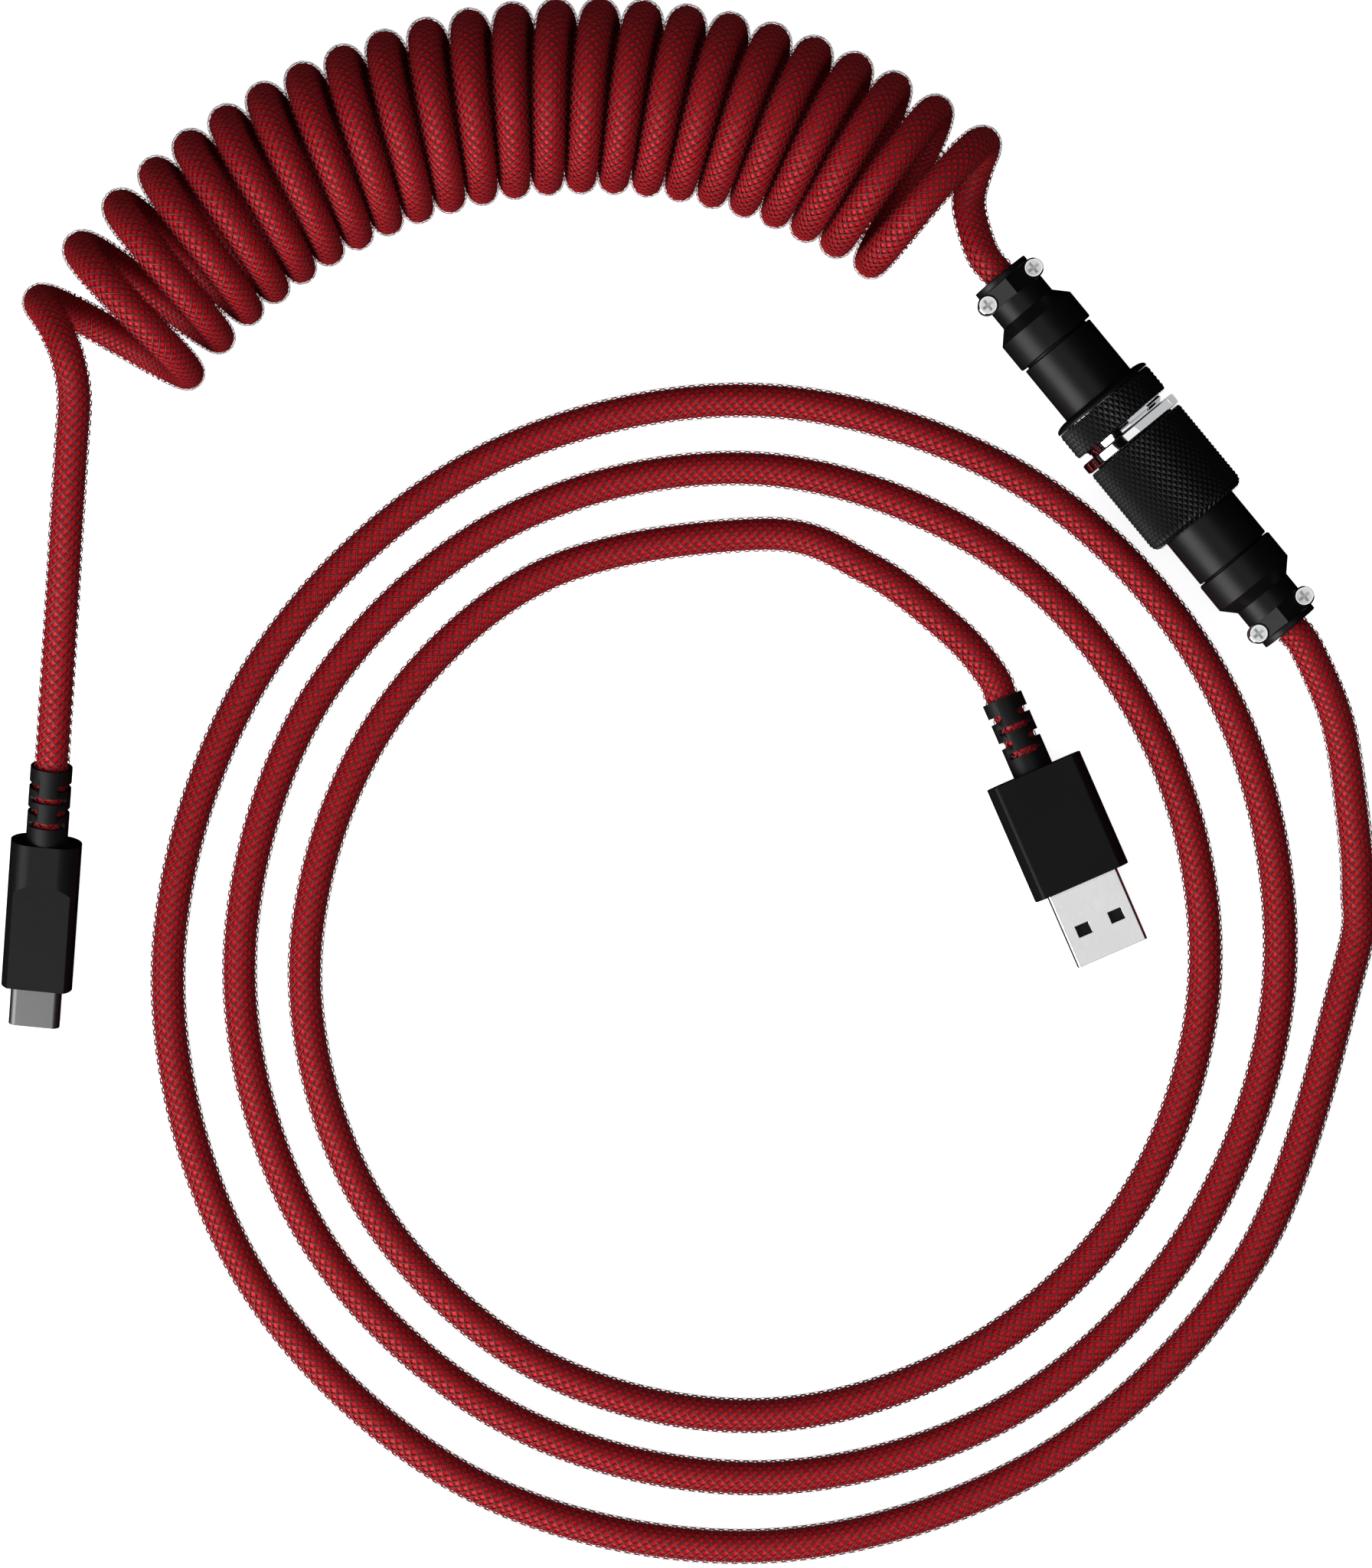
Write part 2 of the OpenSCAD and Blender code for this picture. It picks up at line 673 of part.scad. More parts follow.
socket_tail_shell();
socket_clamp_saddle();
socket_clamp_screws();
socket_barrel();
lock_ring();
lock_washer();
socket_shell();
socket_insulator();
socket_contacts();
socket_cable_end();
socket_wires();
plug_tail_shell();
plug_clamp_saddle();
plug_clamp_screws();
plug_barrel();
coupling_sleeve();
retaining_ring();
plug_shell();
plug_insulator();
plug_pins();
plug_cable_end();
plug_wires();
usb_c_body();
usb_c_inner_mould();
usb_c_shell();
usb_c_insulator();
usb_c_contacts();
usb_c_board();
usb_c_cable_end();
usb_c_relief();
usb_a_body();
usb_a_inner_mould();
usb_a_shell();
usb_a_tongue();
usb_a_contacts();
usb_a_cable_end();
usb_a_relief();
link_cord();
curly_coil();
usb_c_lead();
spiral_cord();
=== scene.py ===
"""Coiled charging cable: the looks that go round the packed frame.

Lengths are in metres, and in millimetres where a name ends in _mm or a piece is still in
its own frame.
"""

import json
import math

import bmesh
import bpy
from bpy.props import FloatProperty, FloatVectorProperty, IntProperty, PointerProperty
from bpy.types import Operator, Panel, PropertyGroup
from mathutils import Euler, Matrix, Vector

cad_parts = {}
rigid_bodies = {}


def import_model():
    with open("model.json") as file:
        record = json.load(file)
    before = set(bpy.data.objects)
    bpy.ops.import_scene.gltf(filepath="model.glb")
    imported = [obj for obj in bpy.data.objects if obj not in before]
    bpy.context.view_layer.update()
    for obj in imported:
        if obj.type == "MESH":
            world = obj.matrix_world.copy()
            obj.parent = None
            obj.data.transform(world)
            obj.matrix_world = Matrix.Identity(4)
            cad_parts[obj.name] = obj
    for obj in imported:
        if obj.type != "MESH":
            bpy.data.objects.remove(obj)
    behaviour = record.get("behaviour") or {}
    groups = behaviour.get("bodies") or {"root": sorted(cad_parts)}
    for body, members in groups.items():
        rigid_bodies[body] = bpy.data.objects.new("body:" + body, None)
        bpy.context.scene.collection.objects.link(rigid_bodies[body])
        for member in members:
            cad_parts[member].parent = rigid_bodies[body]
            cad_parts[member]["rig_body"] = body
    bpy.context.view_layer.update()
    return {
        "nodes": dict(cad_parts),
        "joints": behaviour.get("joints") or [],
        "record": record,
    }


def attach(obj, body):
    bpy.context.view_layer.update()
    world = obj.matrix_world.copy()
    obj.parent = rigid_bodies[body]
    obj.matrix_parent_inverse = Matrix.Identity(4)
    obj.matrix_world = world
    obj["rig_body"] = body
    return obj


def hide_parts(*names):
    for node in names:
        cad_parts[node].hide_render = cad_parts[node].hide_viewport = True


bl_info = {
    "name": "Coiled Charging Cable",
    "version": (1, 0, 0),
    "blender": (4, 5, 0),
    "location": "3D Viewport > Sidebar > Cable",
    "description": "Builds the looks of a coiled charging cable round its packed frame",
    "category": "Object",
}

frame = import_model()
record = frame["record"]
joints = {joint["name"]: joint for joint in frame["joints"]}
mounts = {mount["name"]: mount for mount in record["mounts"]}

MM = 0.001

# The coupler: its axis and its two cable ends
AXIS = Vector(joints["sleeve_turn"]["axis"])
MIDDLE = Vector(joints["sleeve_turn"]["pos_m"])
HEADING = math.atan2(AXIS.y, AXIS.x)
SOCKET_LEN_MM = 33.8
PLUG_LEN_MM = 39.2
COUPLER_LEN = (SOCKET_LEN_MM + PLUG_LEN_MM) * MM
SOCKET_END = MIDDLE - AXIS * COUPLER_LEN / 2
PLUG_END = MIDDLE + AXIS * COUPLER_LEN / 2

# The USB plugs: their tips and headings, and the front and rear faces of their bodies
C_SHELL_MM, C_BODY_MM = 6.65, 24.6
A_SHELL_MM, A_BODY_MM = 12.3, 19.6
C_TIP = Vector(mounts["usb_c_tip"]["pos_m"])
C_DIR = Vector(mounts["usb_c_tip"]["axis"])
C_FRONT = C_TIP - C_DIR * C_SHELL_MM * MM
C_REAR = C_FRONT - C_DIR * C_BODY_MM * MM
C_TURN = (0.0, -math.asin(C_DIR.z), math.atan2(C_DIR.y, C_DIR.x))
A_TIP = Vector(mounts["usb_a_tip"]["pos_m"])
A_DIR = Vector(mounts["usb_a_tip"]["axis"])
A_FRONT = A_TIP - A_DIR * A_SHELL_MM * MM
A_REAR = A_FRONT - A_DIR * A_BODY_MM * MM
A_TURN = (0.0, 0.0, math.atan2(A_DIR.y, A_DIR.x))
RELIEF_LEN = 0.0126

# Clamp screws, in millimetres: from the cable end and from the axis, then a head's radius
# and the height of its top over the axis
SCREW_AT = (2.6, 4.7)
SCREW_HEAD_MM = (1.65, 3.1)
SCREW_TOP = SCREW_HEAD_MM[1] * MM

# Slots whose pieces reflect the panels that light bright metal alone
BRIGHT_METAL = "bright_metal"
BRIGHT_SLOTS = ("chrome", "screw_chrome")

TURNED_STEPS = 96
THREAD_STEPS = 48
STRAND_HALF = 0.115

# A cord leaves a clamp or a strain relief straight for this far
STRAIGHT = 0.004
COILED_STEP, SPIRAL_STEP = 0.0010, 0.0015
CORE_SIDES, SLEEVE_SIDES = 18, 24

# The curly stretch: a helix wound round an arc on the surface
ARC_CENTRE = Vector((-0.0885, -0.0380, 0.0157))
ARC_RADIUS = 0.094
WINDING_RADIUS = 0.01285
FIRST_TURN, LAST_TURN = -0.1, 23.1
POINTS_A_TURN = 24

LINK_ROUTE = [(-0.0275, 0.0365, 0.0075), (-0.028, 0.041, 0.007)]
LEAD_ROUTE = [
    (-0.1725, 0.0185, 0.026), (-0.1705, 0.014, 0.028), (-0.1695, 0.008, 0.0275),
    (-0.170, 0.0, 0.0265), (-0.171, -0.013, 0.0245), (-0.172, -0.026, 0.0215),
]
LAID = 0.00285
SPIRAL_ROUTE = [
    (0.031, -0.043, 0.006), (0.0335, -0.0575, 0.0042), (0.0345, -0.07, 0.0031), (0.033, -0.0835, LAID),
    (0.0175, -0.129, LAID), (-0.016, -0.162, LAID), (-0.0615, -0.1755, LAID), (-0.1085, -0.165, LAID),
    (-0.144, -0.131, LAID), (-0.1565, -0.0835, LAID), (-0.143, -0.0365, LAID), (-0.108, -0.0025, LAID),
    (-0.0615, 0.0085, LAID), (-0.0165, -0.006, LAID),
    (0.0135, -0.04, LAID), (0.022, -0.0835, LAID), (0.009, -0.124, LAID), (-0.021, -0.1535, LAID),
    (-0.0615, -0.1645, LAID), (-0.1025, -0.1545, LAID), (-0.1335, -0.125, LAID), (-0.145, -0.0835, LAID),
    (-0.134, -0.0415, LAID), (-0.103, -0.0115, LAID), (-0.0615, -0.0025, LAID), (-0.0225, -0.0165, LAID),
    (0.0025, -0.0465, LAID), (0.01, -0.0835, LAID), (-0.0005, -0.1185, LAID), (-0.0265, -0.144, LAID),
    (-0.0615, -0.1545, LAID), (-0.0975, -0.146, LAID), (-0.1245, -0.12, LAID), (-0.1345, -0.0835, LAID),
    (-0.1245, -0.047, LAID), (-0.098, -0.0205, LAID), (-0.0615, -0.013, LAID), (-0.044, -0.0185, 0.0029),
    (-0.0305, -0.0285, 0.0035),
]


# --- Sizes and colours that a user would change ---


class CableCordSettings(PropertyGroup):
    """Both cords: a woven core in an open mesh sleeve"""

    outer: FloatProperty(
        name="Outer diameter", description="Diameter over the mesh sleeve",
        default=0.0057, min=0.004, max=0.008, unit="LENGTH", subtype="DISTANCE")
    core: FloatProperty(
        name="Core diameter", description="Diameter of the woven core",
        default=0.0050, min=0.004, max=0.008, unit="LENGTH", subtype="DISTANCE")
    squeeze: FloatProperty(
        name="Squeeze", description="How much a winding narrows where the turns press together inside the arc",
        default=0.08, min=0.0, max=0.2, subtype="FACTOR")
    coiled_length: FloatProperty(
        name="Coiled cord", description="Real length of the cord from the coupler to the USB-C plug",
        default=1.99, min=0.5, max=5.0, unit="LENGTH", subtype="DISTANCE")
    spiral_length: FloatProperty(
        name="Spiral cord", description="Real length of the cord from the coupler to the USB-A plug",
        default=1.54, min=0.5, max=5.0, unit="LENGTH", subtype="DISTANCE")
    cell: FloatProperty(
        name="Cell", description="Length of a mesh cell along the cord",
        default=0.00158, min=0.0005, max=0.005, unit="LENGTH", subtype="DISTANCE")
    strands: IntProperty(
        name="Strands", description="Mesh strands each way round a cord", default=11, min=6, max=32)
    bright: FloatVectorProperty(
        name="Bright yarn", description="Colour of the raised yarn squares of the woven core",
        default=(0.90, 0.008, 0.016), min=0, max=1, size=3, subtype="COLOR")
    # The deep yarn colour is painted shade: the core's lanes take it, under the mesh strands and between the
    # domed squares
    deep: FloatVectorProperty(
        name="Deep yarn", description="Colour of the woven core between its squares",
        default=(0.36, 0.004, 0.008), min=0, max=1, size=3, subtype="COLOR")
    strand: FloatVectorProperty(
        name="Mesh strand", description="Colour of the open mesh sleeve",
        default=(0.13, 0.016, 0.020), min=0, max=1, size=3, subtype="COLOR")


class CableCouplerSettings(PropertyGroup):
    """The inline screw coupler"""

    black: FloatVectorProperty(
        name="Anodised black", description="Colour of the turned aluminium",
        default=(0.0040, 0.0040, 0.0043), min=0, max=1, size=3, subtype="COLOR")
    chrome: FloatVectorProperty(
        name="Plating", description="Colour of the polished flange and threads",
        default=(0.82, 0.83, 0.85), min=0, max=1, size=3, subtype="COLOR")
    gold: FloatVectorProperty(
        name="Contacts", description="Colour of the plated contacts",
        default=(0.83, 0.60, 0.22), min=0, max=1, size=3, subtype="COLOR")
    knurls: IntProperty(
        name="Knurls", description="Knurl diamonds round a ring", default=52, min=24, max=96)
    knurl_angle: FloatProperty(
        name="Knurl angle", description="Angle between a knurl groove and the axis",
        default=math.radians(38.5), min=math.radians(20), max=math.radians(60), unit="ROTATION",
        subtype="ANGLE")
    edge_mm: FloatProperty(
        name="Edge round, mm", description="Rounding of turned edges", default=0.07, min=0.02, max=0.4)


class CablePlugSettings(PropertyGroup):
    """The USB plugs and their strain reliefs"""

    plastic: FloatVectorProperty(
        name="Body", description="Colour of the moulded plug bodies",
        default=(0.0050, 0.0050, 0.0052), min=0, max=1, size=3, subtype="COLOR")
    rubber: FloatVectorProperty(
        name="Relief", description="Colour of the rubber strain reliefs",
        default=(0.0050, 0.0050, 0.0052), min=0, max=1, size=3, subtype="COLOR")
    c_steel: FloatVectorProperty(
        name="USB-C shell", description="Colour of the USB-C plug's steel shell",
        default=(0.15, 0.15, 0.152), min=0, max=1, size=3, subtype="COLOR")
    a_steel: FloatVectorProperty(
        name="USB-A shell", description="Colour of the USB-A plug's steel shell",
        default=(0.94, 0.942, 0.945), min=0, max=1, size=3, subtype="COLOR")
    edge_mm: FloatProperty(
        name="Edge round, mm", description="Rounding of moulded edges", default=0.22, min=0.02, max=0.6)
    long_mm: FloatProperty(
        name="Long edge round, mm", description="Rounding of a body's long edges", default=0.55, min=0.02,
        max=0.8)


class CableStageSettings(PropertyGroup):
    """Floor, lights and camera"""

    floor: FloatVectorProperty(
        name="Floor", description="Colour of the plain floor",
        default=(0.93, 0.93, 0.93), min=0, max=1, size=3, subtype="COLOR")
    glow: FloatProperty(
        name="Floor glow", description="Light that the floor gives off, as a light table does",
        default=0.9, min=0, max=2)
    key_power: FloatProperty(
        name="Key", description="Power of the softbox at the lower left", default=15.0, min=0, unit="POWER")
    top_power: FloatProperty(
        name="Top", description="Power of the panel overhead", default=2.2, min=0, unit="POWER")
    side_power: FloatProperty(
        name="Side", description="Power of the panel that bright metal reflects", default=8.5, min=0,
        unit="POWER")
    low_power: FloatProperty(
        name="Low", description="Power of the panel under the floor that bright metal reflects", default=2.5,
        min=0, unit="POWER")


# --- Materials ---


class Value:
    """A number that varies over a surface: Python's operators add Math nodes to its finish"""

    def __init__(self, finish, socket):
        self.finish, self.socket = finish, socket

    def maths(self, operation, *terms):
        made = self.finish.node("ShaderNodeMath", {"operation": operation}, dict(enumerate(terms)))
        return Value(self.finish, made.outputs[0])

    def __add__(self, other):
        return self.maths("ADD", self, other)

    def __sub__(self, other):
        return self.maths("SUBTRACT", self, other)

    def __mul__(self, other):
        return self.maths("MULTIPLY", self, other)

    def __radd__(self, other):
        return self.maths("ADD", other, self)

    def __rsub__(self, other):
        return self.maths("SUBTRACT", other, self)

    def floor(self):
        return self.maths("FLOOR", self)

    def root(self):
        return self.maths("SQRT", self)

    def size(self):
        return self.maths("ABSOLUTE", self)

    def least(self, other):
        return self.maths("MINIMUM", self, other)

    def to_line(self):
        """Distance to the nearest whole number"""
        return self.maths("PINGPONG", self, 0.5)

    def step(self, low, high, start=0.0, end=1.0):
        """Smooth rise from start at low to end at high"""
        made = self.finish.node(
            "ShaderNodeMapRange", {"interpolation_type": "SMOOTHSTEP"},
            {"Value": self, "From Min": low, "From Max": high, "To Min": start, "To Max": end})
        return Value(self.finish, made.outputs["Result"])


class Finish:
    """A material built of nodes; its constants go straight on to the shader's sockets"""

    def __init__(self, name, **constants):
        self.material = bpy.data.materials.new(name)
        self.material.use_nodes = True
        self.tree = self.material.node_tree
        self.shader = self.tree.nodes["Principled BSDF"]
        for socket, value in constants.items():
            self.shader.inputs[socket.replace("_", " ")].default_value = value

    def node(self, kind, settings=None, inputs=None):
        """Adds a node, sets its settings, then feeds its sockets with values or links"""
        made = self.tree.nodes.new(kind)
        for key, value in (settings or {}).items():
            setattr(made, key, value)
        for key, value in (inputs or {}).items():
            self.feed(made.inputs[key], value)
        return made

    def feed(self, socket, value):
        value = value.socket if isinstance(value, Value) else value
        if isinstance(value, bpy.types.NodeSocket):
            self.tree.links.new(value, socket)
        elif socket.type == "RGBA":
            socket.default_value = (*value[:3], 1.0)
        else:
            socket.default_value = value

    def drive(self, **sockets):
        """Feeds sockets of the shader"""
        for key, value in sockets.items():
            self.feed(self.shader.inputs[key.replace("_", " ")], value)
        return self

    def place(self, origin=(0, 0, 0), turn=(0, 0, 0)):
        """Object coordinates in a frame of the piece's own"""
        coordinates = self.node("ShaderNodeTexCoord").outputs["Object"]
        settings = {"vector_type": "TEXTURE"}
        return self.node("ShaderNodeMapping", settings,
                         {"Vector": coordinates, "Location": origin, "Rotation": turn}).outputs["Vector"]

    def parts(self, vector):
        split = self.node("ShaderNodeSeparateXYZ", None, {"Vector": vector})
        return [Value(self, socket) for socket in split.outputs]

    def joined(self, x, y, z):
        return self.node("ShaderNodeCombineXYZ", None, {"X": x, "Y": y, "Z": z}).outputs["Vector"]

    def noise(self, vector, scale, detail=2.0, roughness=0.5):
        made = self.node("ShaderNodeTexNoise", None,
                         {"Vector": vector, "Scale": scale, "Detail": detail, "Roughness": roughness})
        return Value(self, made.outputs[0])

    def blend(self, factor, first, second):
        """Colour between first, at factor 0, and second, at factor 1"""
        made = self.node("ShaderNodeMix", {"data_type": "RGBA"}, {0: factor, 6: first, 7: second})
        return made.outputs[2]

    def bumped(self, height, distance, strength=1.0):
        made = self.node("ShaderNodeBump", None, {"Height": height, "Distance": distance, "Strength": strength})
        return self.drive(Normal=made.outputs["Normal"])

    def weave(self):
        """The two families of crossing lines of a sleeve, from the cord's own map"""
        along, around, _ = self.parts(self.node("ShaderNodeTexCoord").outputs["UV"])
        return along + around, along - around


def scaled(colour, by):
    return tuple(min(1.0, channel * by) for channel in colour)


def woven_core(cord):
    """Red woven yarn: domed squares with deep lanes between them, the lanes painted darker as the shade under
    the mesh strands and between the squares
    """
    finish = Finish("woven_core", Roughness=0.45, Specular_IOR_Level=0.18)
    first, second = finish.weave()
    nearest = first.to_line().least(second.to_line())
    square = nearest.step(0.13, 0.21)
    yarn = (first * 6).to_line()
    cell = finish.joined(first.floor(), second.floor(), 0.0)
    odd = finish.node("ShaderNodeTexWhiteNoise", {"noise_dimensions": "3D"}, {"Vector": cell})
    shade = Value(finish, odd.outputs["Value"]) * 0.25 + yarn * 0.25
    bright = finish.blend(shade, cord.bright, scaled(cord.bright, 0.55))
    # Painted shade: the lanes between the squares, under the mesh strands, take the darker deep yarn colour
    colour = finish.blend(square, cord.deep, bright)
    return finish.drive(Base_Color=colour, Roughness=0.58 - square * 0.16).bumped(
        square + yarn * 0.25, 0.00012, 0.8)


def mesh_sleeve(cord):
    """Open sleeve of thin dark strands, clear between them"""
    finish = Finish("mesh_sleeve", Roughness=0.36, Specular_IOR_Level=0.22)
    first, second = finish.weave()
    nearest = first.to_line().least(second.to_line())
    strand = 1 - nearest.step(STRAND_HALF - 0.02, STRAND_HALF + 0.02)
    place = finish.place()
    worn = finish.noise(place, 900.0, 2.0)
    colour = finish.blend(worn, cord.strand, scaled(cord.strand, 1.9))
    return finish.drive(Base_Color=colour, Alpha=strand).bumped(1 - nearest * 8, 0.00008, 0.7)


def anodised(coupler):
    """Satin black on turned aluminium: fine lathe lines round the axis"""
    finish = Finish("anodised_black", Roughness=0.42, Specular_IOR_Level=0.25)
    place = finish.place(tuple(MIDDLE), (0, 0, HEADING))
    along, _, _ = finish.parts(place)
    lines = finish.noise(finish.joined(along * 9000, 0.0, 0.0), 1.0, 3.0)
    cloud = finish.noise(place, 260.0, 3.0)
    colour = finish.blend(cloud, coupler.black, scaled(coupler.black, 1.7))
    return finish.drive(Base_Color=colour,
                        Roughness=0.42 + (lines - 0.5) * 0.12 + (cloud - 0.5) * 0.10
                        ).bumped(lines, 0.000006, 0.35)


def knurled_black(coupler):
    """Anodised knurls, lighter towards their points"""
    finish = Finish("knurled_black", Roughness=0.42, Specular_IOR_Level=0.4)
    place = finish.place(tuple(MIDDLE), (0, 0, HEADING))
    _, side, up = finish.parts(place)
    point = (side * side + up * up).root().step(0.00878, 0.00904)
    cloud = finish.noise(place, 900.0, 3.0)
    # Lighter colour towards the knurl points, over the black of the grooves
    point_colour = finish.blend(cloud, scaled(coupler.black, 1.8), scaled(coupler.black, 3.2))
    return finish.drive(Base_Color=finish.blend(point, coupler.black, point_colour),
                        Roughness=0.48 - point * 0.12 + (cloud - 0.5) * 0.1).bumped(cloud, 0.000015, 0.4)


def polished(name, colour, roughness, smudge):
    """Plated metal with faint smudges"""
    finish = Finish(name, Metallic=1.0, Roughness=roughness)
    cloud = finish.noise(finish.place(), 320.0, 4.0, 0.6)
    return finish.drive(Base_Color=finish.blend(cloud, scaled(colour, 0.93), colour),
                        Roughness=roughness + cloud * smudge)


def brushed(name, colour, origin, turn, roughness):
    """Rolled and plated sheet: fine lines along the piece"""
    finish = Finish(name, Metallic=1.0, Roughness=roughness)
    along, side, up = finish.parts(finish.place(origin, turn))
    lines = finish.noise(finish.joined(along * 600, side * 8400, up * 8400), 1.0, 4.0, 0.6)
    cloud = finish.noise(finish.place(origin, turn), 160.0, 2.0)
    return finish.drive(Base_Color=finish.blend(cloud, scaled(colour, 0.92), colour),
                        Roughness=roughness - 0.06 + lines * 0.12 + cloud * 0.05
                        ).bumped(lines, 0.000004, 0.4)


def moulded(name, colour, roughness, grain_m=0.00012, depth=0.000012, lift=1.5, specular=0.5):
    """Plastic or rubber with the fine grain of its mould"""
    finish = Finish(name, Roughness=roughness, Specular_IOR_Level=specular)
    place = finish.place()
    grain = finish.noise(place, 1 / grain_m, 2.0)
    cloud = finish.noise(place, 140.0, 3.0)
    return finish.drive(Base_Color=finish.blend(cloud, colour, scaled(colour, lift)),
                        Roughness=roughness + (grain - 0.5) * 0.14).bumped(grain, depth, 0.6)


def screw_plate(chrome):
    """Bright plated screw: a satin face inside a polished rim, with painted shade on the sunk cross in its face
    """
    finish = Finish("screw_plating", Metallic=1.0, Roughness=0.12)
    place = finish.place(tuple(MIDDLE), (0, 0, HEADING))
    along, across, up = finish.parts(place)
    from_row = along.size() - (COUPLER_LEN / 2 - SCREW_AT[0] * MM)
    from_screw = across.size() - SCREW_AT[1] * MM
    face = 1 - (from_row * from_row + from_screw * from_screw).root().step(0.00118, 0.00130)
    # Painted shade: the sunk cross in the face is a darker grey than the face around it
    recess_shade = 1 - up.step(SCREW_TOP - 0.00014, SCREW_TOP - 0.00003)
    cloud = finish.noise(place, 700.0, 3.0)
    flat = finish.blend(recess_shade, (0.95, 0.95, 0.96), (0.66, 0.66, 0.67))
    return finish.drive(Base_Color=finish.blend(face, chrome, flat), Metallic=1 - face * 0.75,
                        Roughness=0.08 + face * 0.32 + cloud * 0.06)


def circuit_board():
    """Green solder mask with paler tracks under it"""
    finish = Finish("circuit_board", Roughness=0.3, Coat_Weight=0.4)
    along, side, up = finish.parts(finish.place(tuple(C_FRONT), C_TURN))
    track = 1 - (side * 1100).to_line().step(0.1, 0.2)
    mottled = finish.noise(finish.joined(along, side, up), 900.0)
    colour = finish.blend(track, (0.012, 0.10, 0.035), (0.03, 0.20, 0.07))
    return finish.drive(Base_Color=colour, Roughness=0.24 + mottled * 0.15)


# --- Shapes ---


def socket_frame():
    """Frame of the socket half: z inwards along the axis from its cable end, x up"""
    return (Matrix.Translation(SOCKET_END / MM) @ Matrix.Rotation(HEADING, 4, "Z")
            @ Matrix.Rotation(math.pi / 2, 4, "Y") @ Matrix.Rotation(math.pi, 4, "Z"))


def plug_frame():
    """Frame of the plug half, from its own cable end"""
    return (Matrix.Translation(PLUG_END / MM) @ Matrix.Rotation(HEADING + math.pi, 4, "Z")
            @ Matrix.Rotation(math.pi / 2, 4, "Y") @ Matrix.Rotation(math.pi, 4, "Z"))


def finish_piece(bm, name, body, finish, slot, nodes=(), place=None, smooth=35.0):
    """Turns a bmesh in millimetres into a placed piece that rides on a body"""
    bmesh.ops.recalc_face_normals(bm, faces=bm.faces[:])
    bmesh.ops.transform(bm, matrix=Matrix.Scale(MM, 4) @ (place or Matrix.Identity(4)), verts=bm.verts[:])
    mesh = bpy.data.meshes.new(name)
    for face in bm.faces:
        face.smooth = True
    bm.to_mesh(mesh)
    bm.free()
    mesh.set_sharp_from_angle(angle=math.radians(smooth))
    mesh.materials.append(finish.material)
    piece = bpy.data.objects.new(name, mesh)
    bpy.context.scene.collection.objects.link(piece)
    if slot in BRIGHT_SLOTS:
        bpy.data.collections[BRIGHT_METAL].objects.link(piece)
    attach(piece, body)
    if nodes:
        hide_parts(*nodes)
    return piece


def sharp_edges(bm, least=28.0):
    return [edge for edge in bm.edges
            if len(edge.link_faces) == 2 and edge.calc_face_angle(0.0) > math.radians(least)]


def round_edges(bm, edges, width, segments=3):
    bmesh.ops.bevel(bm, geom=edges, offset=width, offset_type="OFFSET", affect="EDGES", segments=segments,
                    profile=0.5, material=-1, clamp_overlap=True)


def softened(node, name, finish, edge_mm, segments=3, wide=None, wide_mm=0.0):
    """A merged copy of a CAD node with its sharp edges rounded, which stands for it. Edges that
    the test wide picks are rounded by wide_mm first"""
    source = frame["nodes"][node]
    bm = bmesh.new()
    bm.from_mesh(source.data)
    bmesh.ops.transform(bm, matrix=Matrix.Scale(1 / MM, 4), verts=bm.verts[:])
    bmesh.ops.remove_doubles(bm, verts=bm.verts[:], dist=0.002)
    bmesh.ops.dissolve_limit(bm, angle_limit=math.radians(1.5), verts=bm.verts[:], edges=bm.edges[:])
    if wide:
        round_edges(bm, [edge for edge in sharp_edges(bm) if wide(edge)], wide_mm, 5)
    round_edges(bm, sharp_edges(bm), edge_mm, segments)
    bmesh.ops.remove_doubles(bm, verts=bm.verts[:], dist=0.001)
    slot = next(part["material_slot"] for part in record["subparts"] if part["node"] == node)
    piece = finish_piece(bm, name, source["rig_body"], finish, slot, [node])
    weighted = piece.modifiers.new("even_shading", "WEIGHTED_NORMAL")
    weighted.keep_sharp = True
    return piece


def turn_profile(bm, profile):
    """Full spin of a closed profile of (radius, height) points about z"""
    verts = [bm.verts.new((radius, 0, height)) for radius, height in profile]
    edges = [bm.edges.new(pair) for pair in [*zip(verts, verts[1:]), (verts[-1], verts[0])]]
    bmesh.ops.spin(bm, geom=verts + edges, cent=(0, 0, 0), axis=(0, 0, 1), angle=2 * math.pi,
                   steps=TURNED_STEPS, use_merge=True)
    bmesh.ops.remove_doubles(bm, verts=bm.verts[:], dist=0.0005)


def cut_thread(bm, root, crest, pitch, low, high):
    """Helical V ridge on a cylinder of the root radius, from one height to another"""
    profile = [(root - 0.05, low), (crest, low + pitch * 0.42), (crest, low + pitch * 0.5),
               (root - 0.05, low + pitch * 0.92)]
    verts = [bm.verts.new((radius, 0, height)) for radius, height in profile]
    edges = [bm.edges.new(pair) for pair in zip(verts, verts[1:])]
    turns = (high - low) / pitch - 1
    count = max(8, round(turns * THREAD_STEPS))
    made = bmesh.ops.spin(bm, geom=verts + edges, cent=(0, 0, 0), axis=(0, 0, 1), angle=2 * math.pi * turns,
                          dvec=(0, 0, pitch * turns / count), steps=count)
    last = [item for item in made["geom_last"] if isinstance(item, bmesh.types.BMVert)]
    bm.faces.new(verts)
    bm.faces.new(sorted(last, key=lambda vert: vert.co.z))


